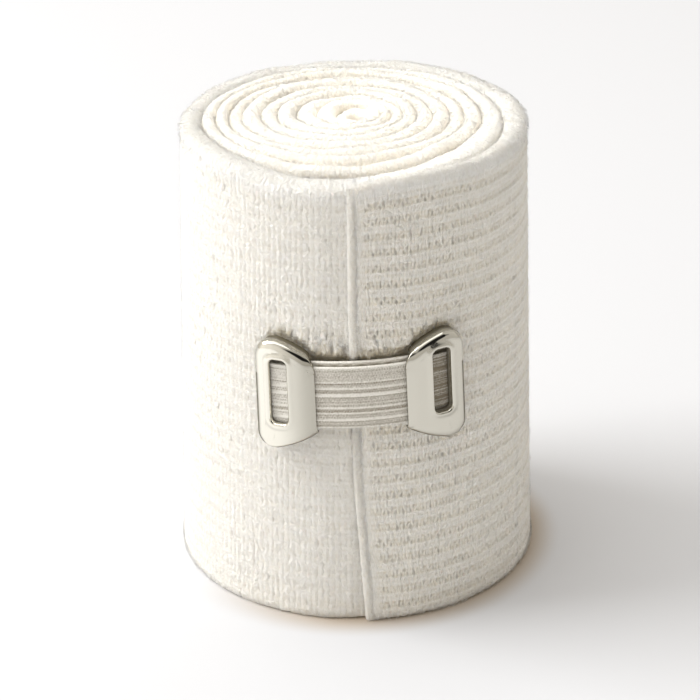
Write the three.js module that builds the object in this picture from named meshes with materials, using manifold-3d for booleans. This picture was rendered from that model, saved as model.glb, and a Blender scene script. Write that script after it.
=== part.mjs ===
// Elastic bandage wound into a standing roll and held shut by a strap clip.
// Millimetres, +Z up. The roll stands on z = 0 and the clip faces -Y.
//
// bandage      one strip of knitted cloth, wound from the core out; its end lies on the front
// strap        short woven elastic that spans the bandage's end
// plate_left   stamped plates that hold the strap's two ends; each is open towards the strap
// plate_right
//
// Angles on the roll are in degrees from the front (-Y) and grow towards the right (+X).

import * as THREE from 'three';
import { mergeVertices } from 'three/addons/utils/BufferGeometryUtils.js';
import Module from 'manifold-3d';

const wasm = await Module();
wasm.setup();

// Clearance between pieces, and between one layer of cloth and the next.
const clearance = 0.3;

// Cloth strip. It lies thick and loose in the outer turn and is pulled thinner towards the core.
const clothWidth = 75;
const outerThickness = 3.0;
const coreThickness = 2.3;
const topEdgeRound = 1.3;
const bottomEdgeRound = 0.8;
const endThickness = 0.7;

// How the strip is wound, from its outer end at turn 0 in to the core. The outer face of the cloth
// has this radius about a centre that moves right and back, and its top edge sinks below the rim.
const winding = [
  { turn: 0.0, radius: 27.6, right: 0.0, back: 0.0, sink: 0.0 },
  { turn: 0.75, radius: 27.3, right: 0.0, back: 0.0, sink: 0.0 },
  { turn: 0.97, radius: 27.1, right: 0.0, back: 0.0, sink: 0.2 },
  { turn: 1.03, radius: 26.4, right: -0.1, back: 0.0, sink: 0.4 },
  { turn: 1.25, radius: 24.4, right: -0.8, back: 0.2, sink: 0.5 },
  { turn: 1.5, radius: 23.6, right: -0.9, back: 0.4, sink: 0.5 },
  { turn: 2.5, radius: 20.9, right: -1.5, back: 0.9, sink: 0.2 },
  { turn: 3.5, radius: 18.6, right: -1.7, back: 1.2, sink: 0.6 },
  { turn: 4.5, radius: 16.5, right: -1.9, back: 1.5, sink: 0.2 },
  { turn: 5.5, radius: 13.6, right: -1.7, back: 1.9, sink: 0.5 },
  { turn: 6.5, radius: 11.1, right: -2.2, back: 2.2, sink: 0.3 },
  { turn: 7.5, radius: 8.6, right: -2.5, back: 2.5, sink: 0.6 },
  { turn: 8.5, radius: 6.1, right: -2.7, back: 2.8, sink: 0.3 },
  { turn: 9.3, radius: 4.0, right: -2.7, back: 2.8, sink: 0.7 },
];
const innerEnd = winding[winding.length - 1].turn;
const outerStepsPerTurn = 36;
const coreStepsPerTurn = 24;
const coreStartsAt = 4;

// The roll is a little wider at its foot, and its axis leans to the right.
const footFlare = 0.078;
const topLean = 0.45;

// The outer end of the strip isn't cut quite square: its angle on the front, by height.
const endLine = [
  { height: 0, angle: 3.8 },
  { height: 25, angle: 0.1 },
  { height: 75, angle: -1.2 },
];
const endLineFades = 0.12;

// Strap clip
const clipAngle = 1.35;
const clipHeight = 40.6;
const clipTilt = 2.0;
const strapWidth = 10.3;
const strapThickness = 1.8;
const strapSteps = 28;
const strapTucksFrom = 5.4;
const strapTuckedBy = 6.5;
const strapTucked = 0.78;
const plateLength = 10.0;
const plateCorner = 2.8;
const plateMetal = 0.45;
const plateWall = 0.35;
const halfSpan = 7.0;
const slotWidth = 2.85;
const slotLength = 10.6;
const slotCorner = 0.6;
const slotFromInnerEdge = 5.72;
const slotRiseLeft = 0.75;
const slotRiseRight = 1.15;
const strapStopsShort = 1.8;

// A plate's upper and lower edges: how far off the clip's middle each starts at the inner edge, the
// bow that it is drawn over, and its peak. The lower edge starts wider and bows less.
const upperEdge = { start: 5.5, bowAt: 2.1, bow: 7.9, peakAt: 6.4, peak: 8.95 };
const lowerEdge = { start: 6.25, bowAt: 3.2, bow: 8.3, peakAt: 6.6, peak: 9.1 };

// The corner cut off a plate's upper edge at its open end: where the cut starts on the inner edge,
// and how far it runs out and up from there.
const cornerCut = { start: 4.3, run: 1.0, rise: 2.1 };

// The shoulder pressed round a plate's face: the height off the cloth at which its wall turns in,
// and the slope from there up, as its own height and width before the face cuts it off.
const shoulderFrom = 1.35;
const shoulderHeight = 2.0;
const shoulderWidth = 1.6;

const strapTop = clearance + strapThickness;
const plateTop = strapTop + clearance + plateMetal;
const rollFacets = 144;
const curveSteps = 7;

// The value of one column of a table, between the two rows that its first column lies between.
function between(table, key, at, column) {
  const last = table.length - 1;
  let row = 0;
  while (row < last - 1 && table[row + 1][key] <= at) {
    row += 1;
  }
  const share = (at - table[row][key]) / (table[row + 1][key] - table[row][key]);
  const within = THREE.MathUtils.clamp(share, 0, 1);
  return THREE.MathUtils.lerp(table[row][column], table[row + 1][column], within);
}

// The roll's growth towards its foot, and its sideways lean, at a height.
function flareAt(height) {
  return 1 + footFlare * (1 - height / clothWidth);
}

function leanAt(height) {
  return topLean * (height / clothWidth);
}

// The strip's outer face at a turn: its radius and the centre that the radius is taken from.
function wound(turn) {
  return {
    radius: between(winding, 'turn', turn, 'radius'),
    right: between(winding, 'turn', turn, 'right'),
    back: between(winding, 'turn', turn, 'back'),
  };
}

// The room between the strip and its own next turn inwards decides how thick the cloth lies there.
function thicknessAt(turn) {
  const lying = THREE.MathUtils.lerp(outerThickness, coreThickness, turn / innerEnd);
  const fade = THREE.MathUtils.smoothstep(turn, 0, endLineFades);
  const full = THREE.MathUtils.lerp(endThickness, lying, fade);
  if (turn + 1 > innerEnd) {
    return full;
  }
  const here = wound(turn);
  const next = wound(turn + 1);
  const angle = turn * 2 * Math.PI;
  const outward = here.radius + here.right * Math.sin(angle) - here.back * Math.cos(angle);
  const inward = next.radius + next.right * Math.sin(angle) - next.back * Math.cos(angle);
  return Math.min(full, outward - inward - clearance);
}

// A point of the strip on the roll. Depth is 0 on the outer face and 1 on the inner face.
function onWinding(turn, depth, height) {
  const { radius, right, back } = wound(turn);
  const fade = 1 - THREE.MathUtils.smoothstep(turn, 0, endLineFades);
  const endAngle = THREE.MathUtils.degToRad(between(endLine, 'height', height, 'angle')) * fade;
  const angle = turn * 2 * Math.PI + endAngle;
  const reach = radius - depth * thicknessAt(turn);
  const sunk = height > clothWidth / 2 ? height - between(winding, 'turn', turn, 'sink') : height;
  return new THREE.Vector3(
    (right + reach * Math.sin(angle)) * flareAt(height) + leanAt(height),
    (back - reach * Math.cos(angle)) * flareAt(height),
    sunk,
  );
}

// A point beside the roll, in the clip's own directions: along the clip from its middle, up across
// it, and out from the cloth.
function onClip(along, across, out) {
  const height = clipHeight + along * Math.tan(THREE.MathUtils.degToRad(clipTilt)) + across;
  const reach = winding[0].radius * flareAt(height) + out;
  const lie = winding[0].radius * flareAt(clipHeight) + strapTop;
  const angle = THREE.MathUtils.degToRad(clipAngle) + along / lie;
  return new THREE.Vector3(
    reach * Math.sin(angle) + leanAt(height),
    -reach * Math.cos(angle),
    height,
  );
}

// Draws a section along Z and then carries each of its points to its place on the roll.
function drawn(section, steps, place) {
  const geometry = new THREE.ExtrudeGeometry(section, { depth: 1, steps, bevelEnabled: false });
  const points = geometry.attributes.position;
  for (let i = 0; i < points.count; i += 1) {
    const placed = place(points.getX(i), points.getY(i), points.getZ(i));
    points.setXYZ(i, placed.x, placed.y, placed.z);
  }
  geometry.computeVertexNormals();
  return geometry;
}

// The strip's section: x is the depth into the cloth, y the height. Its foot is flat and its top
// edge round.
function clothSection() {
  const shape = new THREE.Shape();
  const shoulder = clothWidth - topEdgeRound;
  const rounded = clothWidth - topEdgeRound * 0.35;
  const bend = endLine[1].height;
  shape.moveTo(0.25, 0);
  shape.lineTo(0.75, 0);
  shape.lineTo(1, bottomEdgeRound);
  shape.lineTo(1, bend);
  shape.lineTo(1, shoulder);
  shape.lineTo(0.84, rounded);
  shape.lineTo(0.5, clothWidth);
  shape.lineTo(0.16, rounded);
  shape.lineTo(0, shoulder);
  shape.lineTo(0, bend);
  shape.lineTo(0, bottomEdgeRound);
  return shape;
}

// Steps are short on the wide outer turns and longer, by angle, near the core.
function bandage() {
  const outerSteps = coreStartsAt * outerStepsPerTurn;
  const coreSteps = Math.round((innerEnd - coreStartsAt) * coreStepsPerTurn);
  const steps = outerSteps + coreSteps;
  return drawn(clothSection(), steps, (depth, height, share) => {
    const step = Math.round(share * steps);
    const turn = step <= outerSteps
      ? step / outerStepsPerTurn
      : coreStartsAt + ((step - outerSteps) / coreSteps) * (innerEnd - coreStartsAt);
    return onWinding(turn, depth, height);
  });
}

// Woven elastic: a flat section with eased edges, bent round the roll and pressed thinner where it
// tucks in under the plates.
function strap() {
  const half = strapWidth / 2;
  const ease = strapThickness / 3;
  const reach = halfSpan + plateLength - strapStopsShort;
  const section = new THREE.Shape();
  section.moveTo(0, ease - half);
  section.lineTo(ease, -half);
  section.lineTo(strapThickness - ease, -half);
  section.lineTo(strapThickness, ease - half);
  section.lineTo(strapThickness, half - ease);
  section.lineTo(strapThickness - ease, half);
  section.lineTo(ease, half);
  section.lineTo(0, half - ease);
  return drawn(section, strapSteps, (depth, across, share) => {
    const along = (1 - 2 * share) * reach;
    const tuck = THREE.MathUtils.smoothstep(Math.abs(along), strapTucksFrom, strapTuckedBy);
    return onClip(along, across, clearance + depth * THREE.MathUtils.lerp(1, strapTucked, tuck));
  });
}

// A closed geometry as a solid, and a solid as a geometry.
function solid(geometry) {
  const bare = geometry.clone();
  bare.deleteAttribute('normal');
  bare.deleteAttribute('uv');
  const merged = mergeVertices(bare);
  return new wasm.Manifold(new wasm.Mesh({
    numProp: 3,
    vertProperties: new Float32Array(merged.attributes.position.array),
    triVerts: new Uint32Array(merged.index.array),
  }));
}

function geometryOf(manifold) {
  const mesh = manifold.getMesh();
  const geometry = new THREE.BufferGeometry();
  const points = new Float32Array(mesh.vertProperties);
  geometry.setAttribute('position', new THREE.BufferAttribute(points, 3));
  geometry.setIndex(new THREE.BufferAttribute(new Uint32Array(mesh.triVerts), 1));
  geometry.computeVertexNormals();
  return geometry;
}

// A plate's outline. x runs from the inner edge out, and inset draws the same outline smaller by a
// wall. Its edges run on in their own directions past the inner edge, where the plate is open.
// On the left side the outline is turned over, because that plate's y points down.
function plateOutline(inset, side) {
  const past = shoulderWidth + 0.1;
  const outer = plateLength - inset;
  const corner = plateCorner - inset;
  const upper = upperEdge.peak - inset;
  const lower = lowerEdge.peak - inset;
  const slope = (edge) => (edge.bow - edge.start) / edge.bowAt;
  const backOf = (edge) => edge.start - inset - past * slope(edge);
  const shape = new THREE.Shape();
  shape.moveTo(-past, -backOf(lowerEdge));
  shape.lineTo(0, inset - lowerEdge.start);
  shape.quadraticCurveTo(lowerEdge.bowAt, inset - lowerEdge.bow, lowerEdge.peakAt, -lower);
  shape.lineTo(outer - corner, -lower);
  shape.absarc(outer - corner, corner - lower, corner, -Math.PI / 2, 0);
  shape.lineTo(outer, upper - corner);
  shape.absarc(outer - corner, upper - corner, corner, 0, Math.PI / 2);
  shape.lineTo(upperEdge.peakAt, upper);
  shape.quadraticCurveTo(upperEdge.bowAt, upperEdge.bow - inset, 0, upperEdge.start - inset);
  shape.lineTo(-past, backOf(upperEdge));
  const turned = shape.getPoints(curveSteps).map(({ x, y }) => new THREE.Vector2(x, side * y));
  return new THREE.Shape(turned);
}

function slotOutline(rise) {
  const shape = new THREE.Shape();
  const x = slotWidth / 2 - slotCorner;
  const y = slotLength / 2 - slotCorner;
  shape.absarc(slotFromInnerEdge + x, rise + y, slotCorner, 0, Math.PI / 2);
  shape.absarc(slotFromInnerEdge - x, rise + y, slotCorner, Math.PI / 2, Math.PI);
  shape.absarc(slotFromInnerEdge - x, rise - y, slotCorner, Math.PI, Math.PI * 1.5);
  shape.absarc(slotFromInnerEdge + x, rise - y, slotCorner, Math.PI * 1.5, Math.PI * 2);
  return shape;
}

// A plate's outline drawn up from below the cloth's face, with the shoulder's slope round its top.
function domed(inset, side, sunk) {
  const depth = 6;
  const geometry = new THREE.ExtrudeGeometry(plateOutline(inset, side), {
    depth,
    bevelEnabled: true,
    bevelThickness: shoulderHeight,
    bevelSize: shoulderWidth,
    bevelOffset: -shoulderWidth,
    bevelSegments: 1,
  });
  geometry.translate(0, 0, shoulderFrom - depth - sunk);
  return solid(geometry);
}

// Everything on the plate's side of its inner edge, less the upper corner there.
function beyondInnerEdge(side) {
  const size = 40;
  const beyond = solid(new THREE.BoxGeometry(size, size, size).translate(size / 2, 0, 0));
  const corner = new THREE.BoxGeometry(size, size, size).translate(0, (side * size) / 2, 0);
  corner.rotateZ(side * Math.atan2(cornerCut.rise, cornerCut.run));
  corner.translate(0, side * cornerCut.start, 0);
  return beyond.subtract(solid(corner));
}

// A prism of an outline that reaches from below the cloth's face to well above the plate.
function prism(shape) {
  const geometry = new THREE.ExtrudeGeometry(shape, {
    depth: 12,
    bevelEnabled: false,
    curveSegments: 3,
  });
  geometry.translate(0, 0, -4);
  return solid(geometry);
}

// The space inside the roll's own flared and leaning form, grown by a margin.
function rollGrown(margin) {
  const foot = winding[0].radius * flareAt(0) + margin;
  const rim = winding[0].radius * flareAt(clothWidth) + margin;
  const geometry = new THREE.CylinderGeometry(rim, foot, clothWidth, rollFacets);
  geometry.rotateX(Math.PI / 2);
  geometry.translate(0, 0, clothWidth / 2);
  const lean = new THREE.Matrix4();
  lean.elements[8] = topLean / clothWidth;
  return geometry.applyMatrix4(lean);
}

// One plate, as a curved cap with sloping shoulders, walls down to the cloth, a slot in its face and
// no wall at its inner edge. side is 1 on the right and -1 on the left.
function plate(side) {
  const along = side * (halfSpan + plateLength / 2);
  const height = clipHeight + along * Math.tan(THREE.MathUtils.degToRad(clipTilt));
  const foot = onClip(along, 0, 0);
  const outward = new THREE.Vector3(foot.x - leanAt(height), foot.y, 0).normalize();
  const tilt = THREE.MathUtils.degToRad(clipTilt);
  const tangent = new THREE.Vector3(-outward.y, outward.x, 0);
  const up = new THREE.Vector3(0, 0, 1);
  const away = tangent.clone().multiplyScalar(Math.cos(tilt) * side);
  away.addScaledVector(up, Math.sin(tilt) * side);
  const across = new THREE.Vector3().crossVectors(outward, away);
  const place = new THREE.Matrix4().makeBasis(away, across, outward);
  place.setPosition(foot.clone().addScaledVector(away, -plateLength / 2));
  const toPlate = place.clone().invert();
  const shell = (margin) => solid(rollGrown(margin).applyMatrix4(toPlate));

  const whole = domed(0, side, 0).intersect(beyondInnerEdge(side));
  const body = whole.intersect(shell(plateTop)).subtract(shell(clearance));
  const cavity = domed(plateWall, side, plateMetal).intersect(shell(plateTop - plateMetal));
  const slot = prism(slotOutline(side > 0 ? slotRiseRight : -slotRiseLeft));
  return { geometry: geometryOf(body.subtract(cavity).subtract(slot)), place };
}

const cloth = new THREE.MeshStandardMaterial({ color: 0xf1eee4, roughness: 0.95, metalness: 0 });
const elastic = new THREE.MeshStandardMaterial({ color: 0xd6d3ca, roughness: 0.85, metalness: 0 });
const nickel = new THREE.MeshStandardMaterial({ color: 0xcbc7bd, roughness: 0.2, metalness: 1 });

const parts = new THREE.Group();

function add(name, geometry, material, place = new THREE.Matrix4()) {
  const mesh = new THREE.Mesh(geometry, material);
  mesh.name = name;
  mesh.applyMatrix4(place);
  parts.add(mesh);
}

add('bandage', bandage(), cloth);
add('strap', strap(), elastic);
for (const [name, side] of [['plate_left', -1], ['plate_right', 1]]) {
  const { geometry, place } = plate(side);
  add(name, geometry, nickel.clone(), place);
}

// The origin is under the middle of the whole roll, clip included.
parts.updateMatrixWorld(true);
const middle = new THREE.Box3().setFromObject(parts).getCenter(new THREE.Vector3());
parts.position.set(-middle.x, -middle.y, 0);

export default parts;
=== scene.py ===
import math
import bpy
import numpy as np
from mathutils import Matrix, Vector


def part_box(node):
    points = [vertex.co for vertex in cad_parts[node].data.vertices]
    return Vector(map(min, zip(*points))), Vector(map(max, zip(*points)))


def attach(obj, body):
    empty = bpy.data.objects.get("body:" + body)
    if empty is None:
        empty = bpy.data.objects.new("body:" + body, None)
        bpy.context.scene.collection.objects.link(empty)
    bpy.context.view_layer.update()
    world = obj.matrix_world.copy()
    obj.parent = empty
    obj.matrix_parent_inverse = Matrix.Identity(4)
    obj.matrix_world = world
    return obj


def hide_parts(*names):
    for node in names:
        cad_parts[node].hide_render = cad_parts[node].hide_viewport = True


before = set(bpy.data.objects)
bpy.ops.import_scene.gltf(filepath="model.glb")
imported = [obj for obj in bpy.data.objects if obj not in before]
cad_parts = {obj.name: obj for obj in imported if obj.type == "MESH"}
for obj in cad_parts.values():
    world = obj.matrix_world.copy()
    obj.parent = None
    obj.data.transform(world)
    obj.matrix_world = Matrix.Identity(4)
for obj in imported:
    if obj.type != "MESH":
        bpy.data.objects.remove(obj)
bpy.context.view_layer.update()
scene = bpy.context.scene

# ------------------------------------------------------------------------------------------------
# The cloth. One strip of cream cotton knit with elastic threads along it, 75 mm wide and about
# 0.9 m long. It is wound from the core outwards, loose and thick in the outer turn, and its cut
# end lies on the front.
# ------------------------------------------------------------------------------------------------
cloth_width = 0.075
outer_thickness = 0.0046
core_thickness = 0.0036
end_thickness = 0.0007
turn_gap = 0.00002
core_hole = 0.0012
# The top edge is rounded this much on the outer turn and on the inner ones, and it is this far over.
top_round = 0.0013
inner_round = 0.0009
rim_girth = 0.0042
shoulder = cloth_width - top_round
foot_round = 0.00012
# The outer turns hang clear of the table, all but the corner of the cut end: how far, up to what
# height the cloth is raised with its foot, and how many turns.
foot_raise = 0.00018
foot_reach = 0.005
raised_turns = 3
# The roll widens by this share of its width from its top to its foot, and its top leans to the right.
foot_flare = 0.078
top_lean = 0.00045

# Where the strip lies, from its outer end at turn 0 in to the core: the radius of its outer face
# about a centre that moves right and back, and how far its height sinks below the outer turn's.
winding = {
    "turn": (0.0, 0.75, 0.97, 1.03, 1.25, 1.5, 2.5, 3.5, 4.5, 5.5, 6.5, 7.5, 8.5, 9.2, 9.6, 10.1),
    "radius": (0.0276, 0.0273, 0.0271, 0.0264, 0.0244, 0.0236, 0.0209, 0.0186, 0.0165,
               0.0136, 0.0111, 0.0086, 0.0061, 0.0044, 0.0036, 0.0026),
    "right": (0.0, 0.0, 0.0, -0.0001, -0.0008, -0.0009, -0.0015, -0.0017, -0.0019,
              -0.0017, -0.0017, -0.0013, -0.0005, 0.0002, 0.0005, 0.0008),
    "back": (0.0, 0.0, 0.0, 0.0, 0.0002, 0.0004, 0.0009, 0.0012, 0.0015,
             0.0018, 0.0020, 0.0021, 0.0023, 0.0023, 0.0021, 0.0017),
    "sink": (0.0, 0.0, 0.0, 0.0, 0.0, 0.0, -0.0002, 0.0003, -0.0002,
             0.0002, -0.0001, 0.0003, 0.0000, 0.0003, 0.0008, 0.0013),
}
# The top edges of the outer turns sag by this much at the front, beside the cut end.
front_sag = {"turn": (0.0, 0.022, 0.06, 0.86, 0.91, 0.945, 0.98, 1.03, 1.10, 1.86, 1.94, 2.02, 2.12),
             "sag": (0.0013, 0.0007, 0.0, 0.0, 0.0009, 0.0015, 0.0015, 0.0010, 0.0,
                     0.0, 0.0009, 0.0009, 0.0)}
sag_starts = 0.060
sag_grows = 0.014
inner_end = winding["turn"][-1]
face_radius = winding["radius"][0]
# The cut end isn't quite upright: at each height it lies at this angle, in degrees. The cloth thins
# out to it and follows its line over the first part of a turn.
end_line = {"height": (0.0, 0.0236, 0.053, 0.075), "angle": (3.05, -0.26, -1.66, -1.75)}
end_line_fades = 0.12
# How far the wound cloth waves in and out round its face, and up and down along its top edge.
face_waves = 0.00007
edge_sway = 0.00012
edge_ripple = 0.00008
# From the outer turn to the next the top edge takes the shape of the inner ones, and lies higher.
next_turn = (1.0, 1.15)
inner_rise = 0.0005


def smooth(share):
    share = np.clip(share, 0.0, 1.0)
    return share * share * (3.0 - 2.0 * share)


def wound(turn, column):
    return np.interp(turn, winding["turn"], winding[column])


def thickness_at(turn):
    """The cloth's thickness, which the room up to its own next turn inwards may cut down."""
    lying = outer_thickness + (core_thickness - outer_thickness) * turn / inner_end
    full = end_thickness + (lying - end_thickness) * smooth(turn / end_line_fades)
    angle = turn * math.tau
    outward = (wound(turn, "radius") + wound(turn, "right") * np.sin(angle)
               - wound(turn, "back") * np.cos(angle))
    inward = (wound(turn + 1, "radius") + wound(turn + 1, "right") * np.sin(angle)
              - wound(turn + 1, "back") * np.cos(angle))
    innermost = np.minimum(full, wound(turn, "radius") - core_hole)
    room = np.where(turn + 1 > inner_end, innermost, outward - inward - turn_gap)
    return np.minimum(full, room)


def past_corner(turn):
    """0 at the corner of the cut end and 1 a few millimetres past it."""
    return smooth((turn - 0.004) / 0.012)


def flare_at(height):
    return 1 + foot_flare * (1 - height / cloth_width)


def on_roll(turn, depth, height):
    """A point of the wound strip, depth metres in from its outer face."""
    fade = 1 - smooth(turn / end_line_fades)
    cut = np.radians(np.interp(height, end_line["height"], end_line["angle"])) * fade
    angle = turn * math.tau + cut
    outer = (wound(turn, "radius") / face_radius) ** 2
    slow = np.sin(angle * 3 + turn * 0.9) + 0.6 * np.sin(angle * 7 + turn * 2.3) * outer
    reach = wound(turn, "radius") - depth + face_waves * slow * outer
    high = smooth(height / cloth_width)
    sway = edge_sway * np.sin(angle * 5 + turn * 1.7) + edge_ripple * np.sin(angle * 13 + turn * 5.1) * outer
    uneven = 1 + 0.07 * np.sin(angle * 17 + turn * 3.1) + 0.06 * np.sin(angle * 67 + turn * 7.7)
    raised = foot_raise * uneven * past_corner(turn) * (turn < raised_turns)
    height = height + raised * np.clip(1 - height / foot_reach, 0, 1)
    sagged = np.interp(turn, front_sag["turn"], front_sag["sag"]) * smooth((height - sag_starts) / sag_grows)
    return np.stack([
        (wound(turn, "right") + reach * np.sin(angle)) * flare_at(height) + top_lean * height / cloth_width,
        (wound(turn, "back") - reach * np.cos(angle)) * flare_at(height),
        height - wound(turn, "sink") * high - sagged + sway * high,
    ], axis=-1)


# The clip lies round the front at this angle, height and tilt, and its band this far off the cloth's
# face. The cloth is pinched at its upper edge and swells out above it: both along it, in millimetres.
clip_angle = math.radians(1.35)
clip_height = 0.0406
clip_tilt = math.radians(2.0)
strap_top = 0.0021
clip_reach = face_radius * flare_at(clip_height) + strap_top
clip_brow = {"along": (0.0, 7.0, 7.8, 9.3, 11.0, 13.4, 15.5, 17.0, 18.0),
             "top": (5.5, 5.6, 6.2, 7.3, 8.2, 9.0, 8.7, 7.0, 4.0),
             "swell": (1.0, 1.0, 1.0, 0.8, 0.6, 0.4, 0.25, 0.1, 0.0)}
swell_height = 0.00080
pinch_depth = 0.00012
outer_turn_ends = 1.03


def over_clip(turn, height):
    """Along the clip's upper edge and above it, in millimetres, and how much it presses there."""
    angle = (turn * math.tau + math.pi) % math.tau - math.pi
    along = (angle - clip_angle) * clip_reach
    rise = height - clip_height
    across = 1000 * (rise * math.cos(clip_tilt) - along * math.sin(clip_tilt))
    along = 1000 * (along * math.cos(clip_tilt) + rise * math.sin(clip_tilt))
    top = np.interp(np.abs(along), clip_brow["along"], clip_brow["top"])
    top = (top + 0.16 * np.sin(along * 1.9 + 0.7) + 0.12 * np.sin(along * 4.7)
           + 0.08 * np.sin(along * 9.1 + 2.0))
    share = np.interp(np.abs(along), clip_brow["along"], clip_brow["swell"]) * (turn < outer_turn_ends)
    return along, across - top, share


def swell_at(turn, height):
    """How far the cloth is pinched in at the clip's upper edge and stands out above it."""
    along, above, share = over_clip(turn, height)
    pinched = np.exp(np.minimum(above, 0) / 2.5) * (1 - smooth(above / 0.8))
    lumps = 1 + 0.22 * np.sin(along * 3.1) + 0.16 * np.sin(along * 6.7 + above * 2.0)
    shape = smooth((above + 0.4) / 1.5) * np.exp(-np.maximum(above - 1.1, 0) / 2.2) * lumps
    return (swell_height * shape - pinch_depth * pinched) * share


def lie(turn, girth, lift):
    """A point `girth` round the strip's section, from the foot of its outer face up over its top
    edge and down its inner face, and `lift` outside the cloth's skin."""
    lift = lift + swell_at(turn, girth)
    turn, girth, lift = np.broadcast_arrays(turn, girth, lift)
    half = thickness_at(turn) / 2
    round_up = np.interp(turn, next_turn, (top_round, inner_round))
    level = np.interp(turn, next_turn, (0.0, inner_rise)) * smooth(girth / shoulder)
    bend = np.pi * np.clip((girth - shoulder) / rim_girth, 0, 1)
    past = np.maximum(girth - shoulder - rim_girth, 0)
    foot = foot_round * (1 - np.sqrt(np.clip(1 - (1 - np.clip(girth / foot_round, 0, 1)) ** 2, 0, 1)))
    # The outer turn's edge is round outside. Every edge slopes like a ridge tile towards the next turn.
    fullness = np.where(bend > np.pi / 2, 1.2, np.interp(turn, (1.0, 1.1), (1.0, 1.15)))
    crown = np.clip(np.sin(bend), 0, 1) ** fullness
    # The inner side of the outer turn's edge comes down only as far as the next turn's edge.
    shallow = np.interp(turn, next_turn, (0.36, 0.0))
    crown = np.where(bend > np.pi / 2, 1 - (1 - shallow) * (1 - crown), crown)
    depth = half - (half + lift) * np.cos(bend) + foot
    height = np.minimum(girth, shoulder) + level + (round_up + lift) * crown - past
    return on_roll(turn, depth, height)


# The roll's axis in the frame: the strip's own middle is brought to the middle of its solid.
low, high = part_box("bandage")
whole_turn = np.linspace(0, 1, 721)
foot_ring = lie(whole_turn, foot_round, 0.0)
axis_x = (low[0] + high[0]) / 2 - (foot_ring[:, 0].min() + foot_ring[:, 0].max()) / 2
axis_y = (low[1] + high[1]) / 2 - (foot_ring[:, 1].min() + foot_ring[:, 1].max()) / 2
axis = np.array([axis_x, axis_y, 0.0])


def tube_faces(rings, sides, closed=False):
    """Quads along a tube whose rings follow one another: joined in a loop, or covered at both ends."""
    ring = np.arange(rings if closed else rings - 1)[:, None]
    side = np.arange(sides)[None, :]
    after = (ring + 1) % rings
    beside = (side + 1) % sides
    walls = np.stack([ring * sides + side, ring * sides + beside,
                      after * sides + beside, after * sides + side], axis=-1).reshape(-1, 4)
    if closed:
        return walls
    near = np.arange(sides // 2 - 1)
    cover = np.stack([near, near + 1, sides - 2 - near, sides - 1 - near], axis=-1)
    return np.concatenate([walls, cover[:, [0, 3, 2, 1]], (rings - 1) * sides + cover])


def add_piece(name, points, faces, finish):
    """A piece of the bandage as a mesh, smooth but for its sharp edges."""
    mesh = bpy.data.meshes.new(name)
    mesh.from_pydata(points.reshape(-1, 3).tolist(), [], faces.tolist())
    mesh.update()
    mesh.shade_smooth()
    mesh.set_sharp_from_angle(angle=math.radians(60))
    mesh.materials.append(finish)
    piece = bpy.data.objects.new(name, mesh)
    scene.collection.objects.link(piece)
    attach(piece, "root")
    return piece


def add_tubes(name, rings, finish):
    """Many closed tubes as one mesh: rings is an array of tube, ring, side and coordinate."""
    tubes, count, sides = rings.shape[:3]
    faces = tube_faces(count, sides)
    offsets = np.arange(tubes)[:, None, None] * (count * sides)
    return add_piece(name, rings, (faces[None] + offsets).reshape(-1, 4), finish)


def new_finish(name):
    """A new material, with its nodes, its links and its shader."""
    finish = bpy.data.materials.new(name)
    finish.use_nodes = True
    nodes = finish.node_tree.nodes
    return finish, nodes, finish.node_tree.links, nodes["Principled BSDF"]


def stretch_values(nodes, low, high, to_low=0.0, to_high=1.0):
    """A node that maps the values from low to high onto those from to_low to to_high."""
    mapped = nodes.new("ShaderNodeMapRange")
    mapped.inputs["From Min"].default_value = low
    mapped.inputs["From Max"].default_value = high
    mapped.inputs["To Min"].default_value = to_low
    mapped.inputs["To Max"].default_value = to_high
    return mapped


def blend_colours(nodes, first, second):
    """A node that goes from the first colour to the second by its factor."""
    blend = nodes.new("ShaderNodeMix")
    blend.data_type = "RGBA"
    blend.inputs["A"].default_value = (*first, 1)
    blend.inputs["B"].default_value = (*second, 1)
    return blend


def attribute(nodes, kind):
    """A node that reads what the mesh says of one kind at each point."""
    reader = nodes.new("ShaderNodeAttribute")
    reader.attribute_name = kind
    return reader


def add_bump(nodes, links, heights, shader, depth, strength=1.0):
    bump = nodes.new("ShaderNodeBump")
    bump.inputs["Strength"].default_value = strength
    bump.inputs["Distance"].default_value = depth
    links.new(heights, bump.inputs["Height"])
    links.new(bump.outputs["Normal"], shader.inputs["Normal"])


def mark(piece, kind, shares):
    """Writes a share of one kind, such as a tint, painted shade or polish, at each point of a piece."""
    marks = piece.data.attributes.new(kind, "FLOAT", "POINT")
    marks.data.foreach_set("value", shares.reshape(-1).astype(np.float32))


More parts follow.
